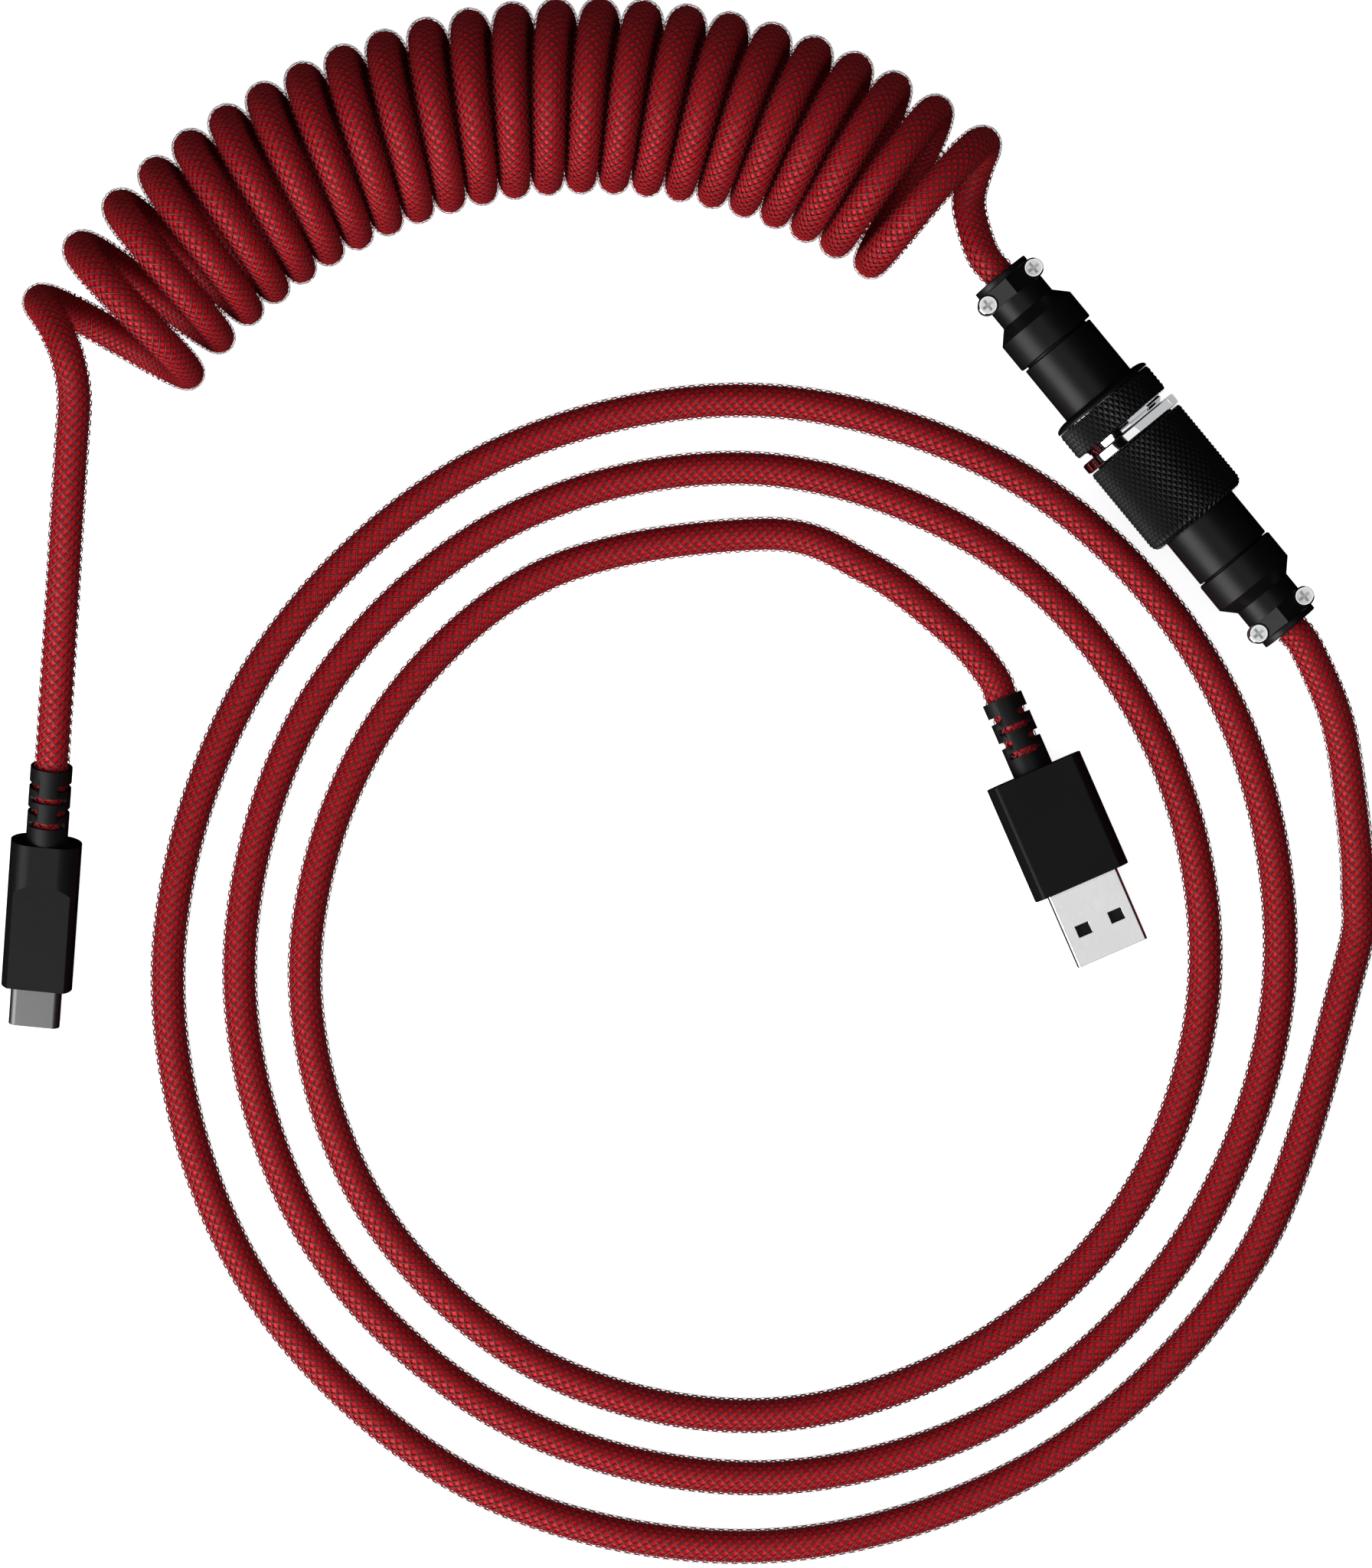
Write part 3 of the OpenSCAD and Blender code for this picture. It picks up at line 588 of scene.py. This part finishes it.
def knurl_band(bm, radius, depth, low, high, count, angle):
    """Whole rows of small pyramids round a band, and its two open rims as edge loops"""
    width = 2 * math.pi * radius / count
    rows = round((high - low) * math.tan(angle) / width)
    height = (high - low) / rows
    side = 2 * math.ceil((count + rows) / 2) + 4
    bmesh.ops.create_grid(bm, x_segments=side, y_segments=side, size=side / 2)
    turned = (Matrix.Translation((math.pi * radius + width / 4, (low + high) / 2, 0))
              @ Matrix.Diagonal((width / math.sqrt(2), height / math.sqrt(2), 1, 1))
              @ Matrix.Rotation(math.pi / 4, 4, "Z"))
    bmesh.ops.transform(bm, matrix=turned, verts=bm.verts[:])
    for at, normal in ((low, (0, -1, 0)), (high, (0, 1, 0))):
        bmesh.ops.bisect_plane(bm, geom=bm.verts[:] + bm.edges[:] + bm.faces[:], plane_co=(0, at, 0),
                               plane_no=normal, clear_outer=True, dist=0.0001)
    around = 2 * math.pi * radius
    outside = [face for face in bm.faces if not -0.001 <= face.calc_center_median().x - 0.01 < around - 0.001]
    bmesh.ops.delete(bm, geom=outside, context="FACES")
    groove = radius - depth
    for vert in bm.verts:
        turn = vert.co.x / radius
        vert.co = (groove * math.cos(turn), groove * math.sin(turn), vert.co.y)
    bmesh.ops.remove_doubles(bm, verts=bm.verts[:], dist=0.01)
    bmesh.ops.recalc_face_normals(bm, faces=bm.faces[:])
    middle = bm.faces[len(bm.faces) // 2]
    if middle.normal.dot(Vector((*middle.calc_center_median().xy, 0))) < 0:
        bmesh.ops.reverse_faces(bm, faces=bm.faces[:])
    rims = [[edge for edge in bm.edges if edge.is_boundary and abs(edge.verts[0].co.z - at) < 0.01
             and abs(edge.verts[1].co.z - at) < 0.01] for at in (low, high)]
    full = width * height / 2
    whole = [face for face in bm.faces if face.calc_area() > 0.9 * full]
    halves = [face for face in bm.faces if 0.3 * full < face.calc_area() <= 0.9 * full]
    reach = full / math.hypot(width, height)
    bmesh.ops.inset_individual(bm, faces=whole, thickness=reach * 0.92, depth=depth, use_even_offset=True)
    bmesh.ops.inset_individual(bm, faces=halves, thickness=reach * 0.55, depth=depth * 0.7,
                               use_even_offset=True)
    return rims


def rim_on(bm, rim, radius, height):
    """Extrudes a rim and sets the new one at a radius and a height"""
    made = bmesh.ops.extrude_edge_only(bm, edges=rim)["geom"]
    for vert in (item for item in made if isinstance(item, bmesh.types.BMVert)):
        flat = vert.co.xy.normalized() * radius
        vert.co = (flat.x, flat.y, height)
    return [item for item in made if isinstance(item, bmesh.types.BMEdge)
            and all(abs(vert.co.z - height) < 1e-4 and abs(vert.co.xy.length - radius) < 1e-3
                    for vert in item.verts)]


def rounded_end(bm, groove, low, reach, sink):
    """Draws the low end of a band in along a quarter round, where its knurls fade"""
    for vert in bm.verts:
        deep = min(1.0, max(0.0, 1 - (vert.co.z - low) / reach))
        rise = (vert.co.xy.length - groove) * (1 - deep)
        flat = vert.co.xy.normalized() * (groove + rise - sink * (1 - math.sqrt(1 - deep * deep)))
        vert.co = (flat.x, flat.y, vert.co.z)


def knurled_ring(radius, depth, band, inside, outside, coupler, end=None):
    """A knurled band closed by its smooth rims and bore: the points run from the band's
    high rim through the bore, and from its low rim outwards. The end is the reach and the
    sink of the round on its low end"""
    bm = bmesh.new()
    low_rim, high_rim = knurl_band(bm, radius, depth, *band, coupler.knurls, coupler.knurl_angle)
    if end:
        rounded_end(bm, radius - depth, band[0], *end)
    for point in inside:
        high_rim = rim_on(bm, high_rim, *point)
    for point in outside:
        low_rim = rim_on(bm, low_rim, *point)
    bmesh.ops.bridge_loops(bm, edges=high_rim + low_rim)
    return bm


# --- Cords ---


def curve_point(before, here, there, after, t):
    return (2 * here + (there - before) * t + (2 * before - 5 * here + 4 * there - after) * t * t
            + (3 * here - before - 3 * there + after) * t * t * t) / 2


def even_route(points, step, samples=12):
    """Evenly spaced points on the smooth curve through the given ones"""
    points = [Vector(point) for point in points]
    ends = [2 * points[0] - points[1], *points, 2 * points[-1] - points[-2]]
    dense = [curve_point(*ends[i:i + 4], k / samples) for i in range(len(points) - 1) for k in range(samples)]
    dense.append(points[-1])
    runs = [0.0]
    for a, b in zip(dense, dense[1:]):
        runs.append(runs[-1] + (b - a).length)
    count = round(runs[-1] / step)
    even, i = [], 0
    for k in range(count + 1):
        want = runs[-1] * k / count
        while i < len(runs) - 2 and runs[i + 1] < want:
            i += 1
        even.append(dense[i].lerp(dense[i + 1], (want - runs[i]) / max(runs[i + 1] - runs[i], 1e-9)))
    return even


def winding(turn):
    """Point on the curly stretch, turn by turn; it opens a little at both ends"""
    late, early = max(0.0, turn - 20), max(0.0, 2 - turn)
    at = math.radians(63.1 + 3.72 * (turn - 2) + 0.39 * late * late - 0.375 * early * early)
    phase = 2 * math.pi * turn
    radius = ARC_RADIUS + WINDING_RADIUS * math.cos(phase)
    return ARC_CENTRE + Vector((radius * math.cos(at), radius * math.sin(at), WINDING_RADIUS * math.sin(phase)))


def coiled_route():
    count = round((LAST_TURN - FIRST_TURN) * POINTS_A_TURN)
    helix = [winding(FIRST_TURN + (LAST_TURN - FIRST_TURN) * k / count) for k in range(count + 1)]
    return [SOCKET_END, SOCKET_END - AXIS * STRAIGHT, *LINK_ROUTE, *helix, *LEAD_ROUTE,
            C_REAR - C_DIR * (RELIEF_LEN + STRAIGHT), C_REAR - C_DIR * RELIEF_LEN, C_REAR]


def spiral_route():
    return [PLUG_END, PLUG_END + AXIS * STRAIGHT, *SPIRAL_ROUTE,
            A_REAR - A_DIR * (RELIEF_LEN + STRAIGHT), A_REAR - A_DIR * RELIEF_LEN, A_REAR]


def winding_girth(point, squeeze):
    """Girth of the coiled cord, which is squeezed inside the arc and loose outside it"""
    out = math.hypot(point.x - ARC_CENTRE.x, point.y - ARC_CENTRE.y) - ARC_RADIUS
    along = math.degrees(math.atan2(point.y - ARC_CENTRE.y, point.x - ARC_CENTRE.x))
    inside_turns = min(1.0, max(0.0, (along - 62) / 6), max(0.0, (146 - along) / 6))
    return 1 + squeeze * max(-1.0, min(1.0, out / WINDING_RADIUS)) * inside_turns


def swept_cord(name, path, radius, sides, cord, body, finish, nodes=(), squeeze=0.0):
    """Round tube along a path; its map counts sleeve cells along and round it, and the cells
    keep their length on the outside of a bend"""
    bm = bmesh.new()
    mapped = bm.loops.layers.uv.new("Weave")
    heading = (path[1] - path[0]).normalized()
    across = heading.orthogonal().normalized()
    rings, run, runs = [], 0.0, []
    for i, point in enumerate(path):
        ahead = (path[min(i + 1, len(path) - 1)] - path[max(i - 1, 0)]).normalized()
        bend = ahead.angle(heading)
        across = heading.rotation_difference(ahead) @ across
        across = (across - ahead * across.dot(ahead)).normalized()
        heading = ahead
        other = heading.cross(across)
        girth = radius * (winding_girth(point, squeeze) if squeeze else 1)
        rings.append([bm.verts.new((point + (across * math.cos(turn) + other * math.sin(turn)) * girth) / MM)
                      for turn in (2 * math.pi * k / sides for k in range(sides))])
        run += (point - path[i - 1]).length + bend * cord.outer / 2 if i else 0.0
        runs.append(run / cord.cell)
    for i, (ring, following) in enumerate(zip(rings, rings[1:])):
        for k in range(sides):
            nxt = (k + 1) % sides
            face = bm.faces.new((ring[k], ring[nxt], following[nxt], following[k]))
            corners = ((runs[i], k), (runs[i], k + 1), (runs[i + 1], k + 1), (runs[i + 1], k))
            for loop, (along, side) in zip(face.loops, corners):
                loop[mapped].uv = (along, side * cord.strands / sides)
    for ring in (rings[0], rings[-1]):
        bm.faces.new(ring)
    return finish_piece(bm, name, body, finish, "fabric_red", nodes, smooth=60.0)


# --- Operators ---


class CABLE_OT_stage(Operator):
    """Floor, soft lights and the camera straight above"""

    bl_idname = "cable.stage"
    bl_label = "Stage"

    def light(self, name, power, size, place, aim, diffuse=True):
        data = bpy.data.lights.new(name, "AREA")
        data.shape, data.size, data.size_y, data.energy = "RECTANGLE", size[0], size[1], power
        lamp = bpy.data.objects.new(name, data)
        lamp.location = place
        lamp.rotation_mode = "QUATERNION"
        lamp.rotation_quaternion = (Vector(aim) - Vector(place)).to_track_quat("-Z", "Y")
        lamp.visible_camera = False
        lamp.visible_diffuse = diffuse
        bpy.context.scene.collection.objects.link(lamp)
        return lamp

    def execute(self, context):
        stage = context.scene.cable_stage
        scene = context.scene
        camera_data = bpy.data.cameras.new("camera")
        camera_data.lens, camera_data.sensor_width = 171.2, 36.0
        camera = bpy.data.objects.new("camera", camera_data)
        camera.location = (-0.0733, -0.0531, 1.2)
        scene.collection.objects.link(camera)
        scene.camera = camera

        middle = (-0.0733, -0.0531, 0.0)
        self.light("key", stage.key_power, (1.0, 0.8), (-0.73, -0.78, 0.50), middle)
        self.light("top", stage.top_power, (0.8, 0.8), (-0.07, -0.05, 1.5), middle)
        side = self.light("side", stage.side_power, (1.8, 2.36), (0.605, 0.506, 0.40), middle, diffuse=False)
        low = self.light("low", stage.low_power, (1.2, 1.2), (0.52, 0.43, -0.674), (0.52, 0.43, 0.0),
                         diffuse=False)
        bright_metal = bpy.data.collections.new(BRIGHT_METAL)
        for lamp in (side, low):
            lamp.light_linking.receiver_collection = bright_metal

        world = bpy.data.worlds.new("studio")
        world.use_nodes = True
        tree = world.node_tree
        seen = tree.nodes.new("ShaderNodeLightPath").outputs["Is Camera Ray"]
        blend = tree.nodes.new("ShaderNodeMix")
        blend.data_type = "RGBA"
        blend.inputs[6].default_value = (0.23, 0.23, 0.235, 1)
        blend.inputs[7].default_value = (0.90, 0.90, 0.90, 1)
        tree.links.new(seen, blend.inputs[0])
        tree.links.new(blend.outputs[2], tree.nodes["Background"].inputs["Color"])
        world.cycles_visibility.glossy = False
        scene.world = world
        scene.view_settings.view_transform = "Standard"

        finish = Finish("floor", Roughness=0.8, Specular_IOR_Level=0.2, Emission_Strength=stage.glow)
        dust = finish.noise(finish.place(), 40.0, 3.0)
        finish.drive(Base_Color=finish.blend(dust, stage.floor, scaled(stage.floor, 0.985)),
                     Emission_Color=finish.blend(dust, stage.floor, scaled(stage.floor, 0.985)))
        bm = bmesh.new()
        bmesh.ops.create_grid(bm, x_segments=8, y_segments=8, size=6.0)
        bmesh.ops.translate(bm, vec=(0, 0, -0.00002), verts=bm.verts[:])
        mesh = bpy.data.meshes.new("floor")
        bm.to_mesh(mesh)
        bm.free()
        mesh.materials.append(finish.material)
        floor = bpy.data.objects.new("floor", mesh)
        floor.visible_diffuse = False
        floor.visible_glossy = False
        scene.collection.objects.link(floor)
        return {"FINISHED"}


class CABLE_OT_cords(Operator):
    """The coiled cord and the spiral cord: woven cores in open mesh sleeves"""

    bl_idname = "cable.cords"
    bl_label = "Cords"

    def execute(self, context):
        cord = context.scene.cable_cord
        core, sleeve = woven_core(cord), mesh_sleeve(cord)
        coiled = even_route(coiled_route(), COILED_STEP)
        spiral = even_route(spiral_route(), SPIRAL_STEP)
        swept_cord("coiled_core", coiled, cord.core / 2, CORE_SIDES, cord, "socket_half", core,
                   ["link_cord", "curly_coil", "usb_c_lead"], cord.squeeze)
        swept_cord("coiled_sleeve", coiled, cord.outer / 2, SLEEVE_SIDES, cord, "socket_half", sleeve,
                   squeeze=cord.squeeze)
        swept_cord("spiral_core", spiral, cord.core / 2, CORE_SIDES, cord, "plug_half", core, ["spiral_cord"])
        swept_cord("spiral_sleeve", spiral, cord.outer / 2, SLEEVE_SIDES, cord, "plug_half", sleeve)
        return {"FINISHED"}


def head_rims(place):
    """Test for the top rims of the two clamp screws in the frame of a coupler half"""
    centres = [place @ Vector((SCREW_HEAD_MM[1], side * SCREW_AT[1], SCREW_AT[0])) for side in (-1, 1)]

    def on_rim(edge):
        return all(any(abs(vert.co.z - centre.z) < 0.02 and (vert.co - centre).length > SCREW_HEAD_MM[0] - 0.1
                       and (vert.co - centre).length < SCREW_HEAD_MM[0] + 0.1 for centre in centres)
                   for vert in edge.verts)

    return on_rim


class CABLE_OT_tails(Operator):
    """Tail shells, clamp saddles, barrels and clamp screws of both coupler halves"""

    bl_idname = "cable.tails"
    bl_label = "Tails and barrels"

    def execute(self, context):
        coupler = context.scene.cable_coupler
        black = anodised(coupler)
        plating = screw_plate(coupler.chrome)
        for half, place in (("socket", socket_frame()), ("plug", plug_frame())):
            softened(half + "_tail_shell", half + "_tail", black, coupler.edge_mm)
            softened(half + "_clamp_saddle", half + "_saddle", black, coupler.edge_mm * 0.7)
            softened(half + "_barrel", half + "_sleeve_barrel", black, coupler.edge_mm)
            softened(half + "_clamp_screws", half + "_screws", plating, 0.03, 2, head_rims(place), 0.38)
        return {"FINISHED"}


class CABLE_OT_rings(Operator):
    """Knurled lock ring and coupling sleeve"""

    bl_idname = "cable.rings"
    bl_label = "Knurled rings"

    def execute(self, context):
        coupler = context.scene.cable_coupler
        knurls = knurled_black(coupler)
        bm = knurled_ring(
            9.0, 0.28, (26.04, 30.72),
            [(8.60, 30.86), (7.7, 30.9), (7.56, 30.76), (7.56, 26.54), (8.65, 26.54)],
            [(8.70, 26.0), (8.66, 26.0)], coupler)
        finish_piece(bm, "lock_ring_knurled", "lock_ring_body", knurls, "knurled_black", ["lock_ring"],
                     socket_frame(), smooth=24.0)
        bm = knurled_ring(
            9.05, 0.30, (22.95, 38.95),
            [(8.62, 39.12), (8.1, 39.15), (8.02, 39.05), (8.02, 32.0), (7.95, 31.9), (7.95, 28.1), (7.6, 28.0),
             (7.6, 24.5), (6.76, 24.5), (6.76, 22.85)],
            [(7.84, 22.76), (7.7, 22.7), (6.9, 22.7)], coupler, (1.15, 0.75))
        finish_piece(bm, "coupling_sleeve_knurled", "sleeve", knurls, "knurled_black", ["coupling_sleeve"],
                     plug_frame(), smooth=24.0)
        return {"FINISHED"}


class CABLE_OT_threads(Operator):
    """Plated flange and threads, and the plug's key tube"""

    bl_idname = "cable.threads"
    bl_label = "Plated shells"

    def execute(self, context):
        coupler = context.scene.cable_coupler
        chrome = polished("polished_plating", coupler.chrome, 0.05, 0.05)
        bm = bmesh.new()
        turn_profile(bm, [
            (5.2, 20.5), (6.0, 20.5), (6.0, 25.95), (7.2, 25.95), (7.2, 31.45), (7.0, 31.5), (7.0, 32.0),
            (8.95, 32.0), (9.2, 32.22), (9.2, 33.58), (8.95, 33.8), (7.45, 33.8), (7.45, 34.5), (7.65, 34.7),
            (7.65, 40.4), (7.25, 40.8), (6.5, 40.8), (6.5, 34.9), (5.2, 34.9)])
        round_edges(bm, sharp_edges(bm, 24), 0.05, 2)
        cut_thread(bm, 7.2, 7.5, 1.0, 26.0, 31.9)
        cut_thread(bm, 7.65, 7.95, 1.0, 34.4, 40.9)
        finish_piece(bm, "socket_shell_threaded", "socket_half", chrome, "chrome", ["socket_shell"],
                     socket_frame())
        softened("plug_shell", "plug_key_tube", chrome, 0.08)
        return {"FINISHED"}


class CABLE_OT_insides(Operator):
    """Finishes for the parts inside the coupler and the plugs"""

    bl_idname = "cable.insides"
    bl_label = "Inside parts"

    def execute(self, context):
        coupler = context.scene.cable_coupler
        cord = context.scene.cable_cord
        steel = polished("washer_steel", (0.62, 0.62, 0.63), 0.22, 0.12)
        gold = polished("gold_plating", coupler.gold, 0.16, 0.14)
        resin = moulded("dark_resin", (0.020, 0.017, 0.015), 0.38)
        cream = moulded("cream_mould", (0.69, 0.62, 0.48), 0.5, 0.0003)
        tongue = moulded("black_tongue", (0.006, 0.006, 0.006), 0.45, 0.0003, specular=0.2)
        wires = moulded("wire_skin", (0.05, 0.30, 0.12), 0.4)
        jacket = moulded("cable_jacket", (0.03, 0.03, 0.032), 0.5)
        # The clamped braid takes the deep yarn colour, the darker red of the core's painted shade
        braid = moulded("clamped_braid", cord.deep, 0.7, 0.0004, 0.00006)
        finishes = {
            "lock_washer": steel, "retaining_ring": steel, "socket_insulator": resin, "plug_insulator": resin,
            "usb_c_insulator": resin, "socket_contacts": gold, "plug_pins": gold, "usb_c_contacts": gold,
            "usb_a_contacts": gold, "usb_c_inner_mould": cream, "usb_a_inner_mould": cream,
            "usb_a_tongue": tongue, "socket_wires": wires, "plug_wires": wires, "usb_c_cable_end": jacket,
            "usb_a_cable_end": jacket, "socket_cable_end": braid, "plug_cable_end": braid,
            "usb_c_board": circuit_board(),
        }
        for node, finish in finishes.items():
            materials = frame["nodes"][node].data.materials
            materials.clear()
            materials.append(finish.material)
        return {"FINISHED"}


def long_edges(origin, turn):
    """Test for the long outer edges of a plug body"""
    centre, back = origin / MM, Euler(turn).to_matrix().transposed()

    def on_side(edge):
        ends = [back @ (vert.co - centre) for vert in edge.verts]
        run = ends[1] - ends[0]
        return run.length > 10 and abs(run.x) > 0.999 * run.length and math.hypot(ends[0].y, ends[0].z) > 7.2

    return on_side


class CABLE_OT_plugs(Operator):
    """Bodies, shells and slotted strain reliefs of the two USB plugs"""

    bl_idname = "cable.plugs"
    bl_label = "USB plugs"

    def execute(self, context):
        plug = context.scene.cable_plug
        body = moulded("moulded_body", plug.plastic, 0.42, specular=0.13)
        rubber = moulded("relief_rubber", plug.rubber, 0.50, 0.0002, 0.00001, specular=0.2)
        for kind, origin, turn, edge, colour, roughness in (
                ("usb_c", C_FRONT, C_TURN, 1.6, plug.c_steel, 0.42),
                ("usb_a", A_FRONT, A_TURN, 1.0, plug.a_steel, 0.28)):
            steel = brushed(kind + "_steel", colour, tuple(origin), turn, roughness)
            softened(kind + "_body", kind + "_plug_body", body, plug.edge_mm * edge, 3,
                     long_edges(origin, turn), plug.long_mm)
            softened(kind + "_shell", kind + "_plug_shell", steel, 0.06)
            softened(kind + "_relief", kind + "_strain_relief", rubber, 0.10)
        return {"FINISHED"}


class CABLE_OT_declare(Operator):
    """Looks up both cord cores and works out their routes and the pieces that lie on them, but keeps none of it
    """

    bl_idname = "cable.declare"
    bl_label = "Declare cords"

    def execute(self, context):
        cord = context.scene.cable_cord
        inside = {
            "usb_c": ["inner_mould", "insulator", "contacts", "board", "cable_end"],
            "usb_a": ["inner_mould", "tongue", "contacts", "cable_end"],
        }
        for name, kind, route, length, exit_point, stiffness, lay in (
                ("coiled", "usb_c", coiled_route(), cord.coiled_length, SOCKET_END, "limp", "coiled"),
                ("spiral", "usb_a", spiral_route(), cord.spiral_length, PLUG_END, "medium", "loose")):
            pieces = [name + "_sleeve", kind + "_plug_body", kind + "_plug_shell", kind + "_strain_relief"]
            bpy.data.objects[name + "_core"]
            [tuple(point) for point in even_route(route, SPIRAL_STEP)]
            pieces + [kind + "_" + part for part in inside[kind]]
        return {"FINISHED"}


class CABLE_PT_panel(Panel):
    """Sizes, colours and the pieces in the order they are made"""

    bl_idname = "CABLE_PT_panel"
    bl_label = "Coiled Charging Cable"
    bl_space_type = "VIEW_3D"
    bl_region_type = "UI"
    bl_category = "Cable"

    def draw(self, context):
        layout = self.layout
        for name, group in SETTINGS.items():
            box = layout.box()
            box.label(text=group.__doc__)
            for field in group.__annotations__:
                box.prop(getattr(context.scene, name), field)
        for operator in OPERATORS:
            layout.operator(operator.bl_idname)


SETTINGS = {
    "cable_cord": CableCordSettings, "cable_coupler": CableCouplerSettings,
    "cable_plug": CablePlugSettings, "cable_stage": CableStageSettings,
}
OPERATORS = (CABLE_OT_stage, CABLE_OT_cords, CABLE_OT_tails, CABLE_OT_rings, CABLE_OT_threads,
             CABLE_OT_insides, CABLE_OT_plugs, CABLE_OT_declare)


def register():
    for group in (*SETTINGS.values(), *OPERATORS, CABLE_PT_panel):
        bpy.utils.register_class(group)
    for name, group in SETTINGS.items():
        setattr(bpy.types.Scene, name, PointerProperty(type=group))


def unregister():
    for name in SETTINGS:
        delattr(bpy.types.Scene, name)
    for group in (CABLE_PT_panel, *reversed(OPERATORS), *SETTINGS.values()):
        bpy.utils.unregister_class(group)


def main():
    register()
    bpy.ops.cable.stage()
    bpy.ops.cable.cords()
    bpy.ops.cable.tails()
    bpy.ops.cable.rings()
    bpy.ops.cable.threads()
    bpy.ops.cable.insides()
    bpy.ops.cable.plugs()
    bpy.ops.cable.declare()


if __name__ == "__main__":
    main()
